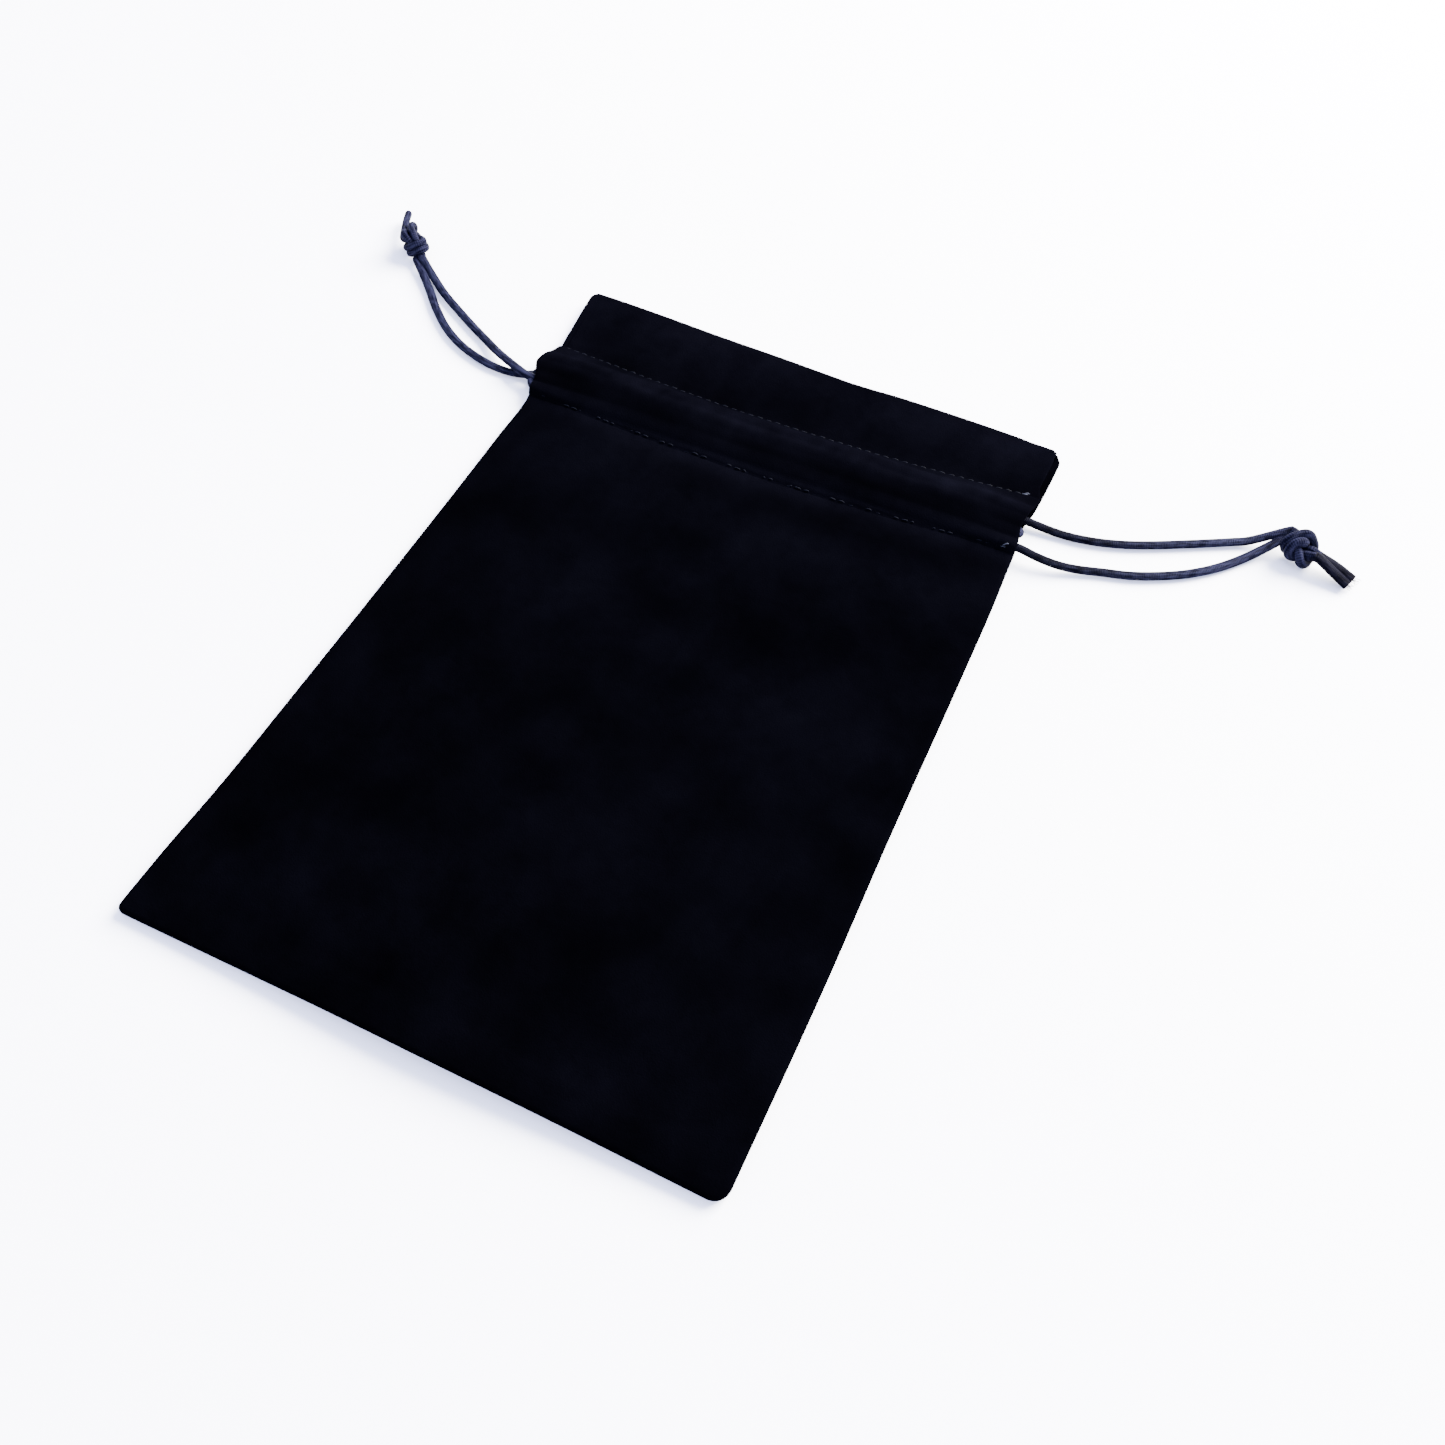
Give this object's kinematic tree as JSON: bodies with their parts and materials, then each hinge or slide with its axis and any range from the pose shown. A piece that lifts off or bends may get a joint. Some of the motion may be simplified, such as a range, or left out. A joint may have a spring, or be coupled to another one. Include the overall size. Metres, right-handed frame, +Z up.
{
  "type": "drawstring dice bag",
  "caption": "Flat velvet drawstring pouch for dice, with a hemmed lip that folds open and knotted satin cords that slide through a sewn casing.",
  "frame": {"origin": "middle of the flat bag's footprint, on the surface it lies on", "axes": "+Y along the bag from its bottom seam to its mouth, +Z up out of the cloth, +X to the right seen from above"},
  "size_m": [0.3067, 0.2351, 0.0087],
  "materials": {
    "velvet": "blue-black cotton velvet, short brushed nap",
    "facing_velvet": "the same velvet folded inside the mouth",
    "thread": "fine slate-blue sewing thread",
    "tack_thread": "pale doubled thread end",
    "satin_cord": "navy satin braid with a soft gloss"
  },
  "bodies": {
    "pocket": {"back_panel": "velvet", "front_panel": "velvet", "back_lip": "velvet", "back_facing": "facing_velvet", "back_upper_stitches": "thread", "back_lower_stitches": "thread", "left_seam_thread": "thread", "right_seam_thread": "thread", "bottom_seam_thread": "thread"},
    "front_lip": {"front_lip": "velvet", "front_facing": "facing_velvet", "front_upper_stitches": "thread", "front_lower_stitches": "thread", "back_tack_threads": "tack_thread"},
    "left_cord": {"left_back_run": "satin_cord", "left_turn": "satin_cord", "left_front_leg": "satin_cord", "left_back_leg": "satin_cord", "left_knot": "satin_cord", "left_tail": "satin_cord"},
    "left_cord_front": {"left_front_run": "satin_cord"},
    "right_cord": {"right_back_run": "satin_cord", "right_turn": "satin_cord", "right_front_leg": "satin_cord", "right_back_leg": "satin_cord", "right_knot": "satin_cord", "right_upper_tail": "satin_cord", "right_lower_tail": "satin_cord"},
    "right_cord_front": {"right_front_run": "satin_cord"}
  },
  "joints": [
    {"name": "mouth_open", "type": "hinge", "parent": "pocket", "child": "front_lip", "pos_m": [0, 0.069, 0.00625], "axis": [0.9992, 0.0401, 0], "range_deg": [0, 75]},
    {"name": "left_cord_slide", "type": "slide", "parent": "pocket", "child": "left_cord", "axis": [0.9992, 0.0401, 0], "range_m": [0, 0.02], "deforming": ["left_front_leg", "left_back_leg"]},
    {"name": "left_cord_lift", "type": "hinge", "parent": "left_cord", "child": "left_cord_front", "pos_m": [0, 0.069, 0.00625], "axis": [0.9992, 0.0401, 0], "range_deg": [0, 75], "deforming": ["left_turn"]},
    {"name": "right_cord_slide", "type": "slide", "parent": "pocket", "child": "right_cord", "axis": [-0.9992, -0.0401, 0], "range_m": [0, 0.02], "deforming": ["right_front_leg", "right_back_leg"]},
    {"name": "right_cord_lift", "type": "hinge", "parent": "right_cord", "child": "right_cord_front", "pos_m": [0, 0.069, 0.00625], "axis": [0.9992, 0.0401, 0], "range_deg": [0, 75], "deforming": ["right_turn"]}
  ],
  "couplings": [
    {"joint": "left_cord_lift", "follows": "mouth_open", "ratio": 1},
    {"joint": "right_cord_lift", "follows": "mouth_open", "ratio": 1}
  ]
}
